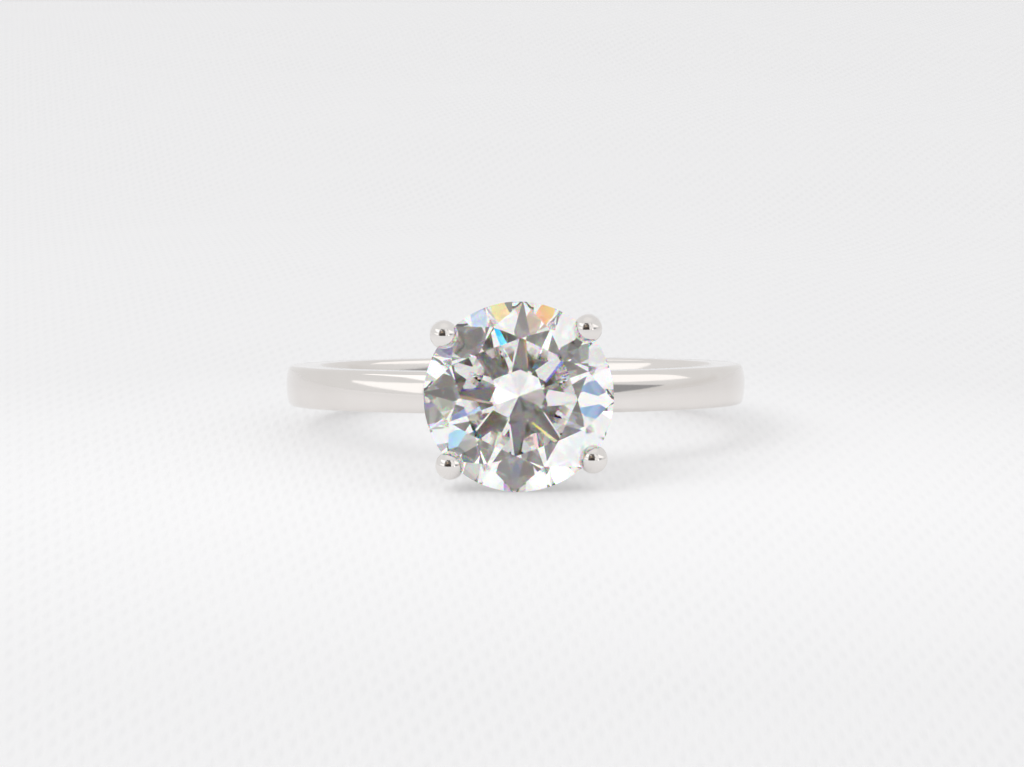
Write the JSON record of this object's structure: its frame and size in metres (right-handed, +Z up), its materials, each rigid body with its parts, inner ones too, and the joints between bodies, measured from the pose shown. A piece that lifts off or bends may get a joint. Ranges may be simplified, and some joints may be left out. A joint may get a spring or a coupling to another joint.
{
  "type": "engagement ring",
  "caption": "Solitaire engagement ring: polished shank with a domed outer face, and a round brilliant stone held by round wire claws.",
  "frame": {"origin": "on the surface that the ring lies on, under the middle of the ring's bounding box", "axes": "+Z up from the surface, -Y towards the stone's table as the ring lies on its side, +X to the right as seen facing the stone. The finger's axis leans 7.4 degrees from +Z towards +Y, because the stone's girdle props up the front."},
  "size_m": [0.0206, 0.0256, 0.0079],
  "materials": {
    "shank_metal": "polished",
    "head_metal": "polished",
    "stone": "polished"
  },
  "bodies": {
    "root": {"shank": "shank_metal", "collet": "head_metal", "gallery_rail": "head_metal", "claw_upper_right": "head_metal", "claw_upper_left": "head_metal", "claw_lower_left": "head_metal", "claw_lower_right": "head_metal", "round_brilliant_stone": "stone"}
  },
  "joints": []
}
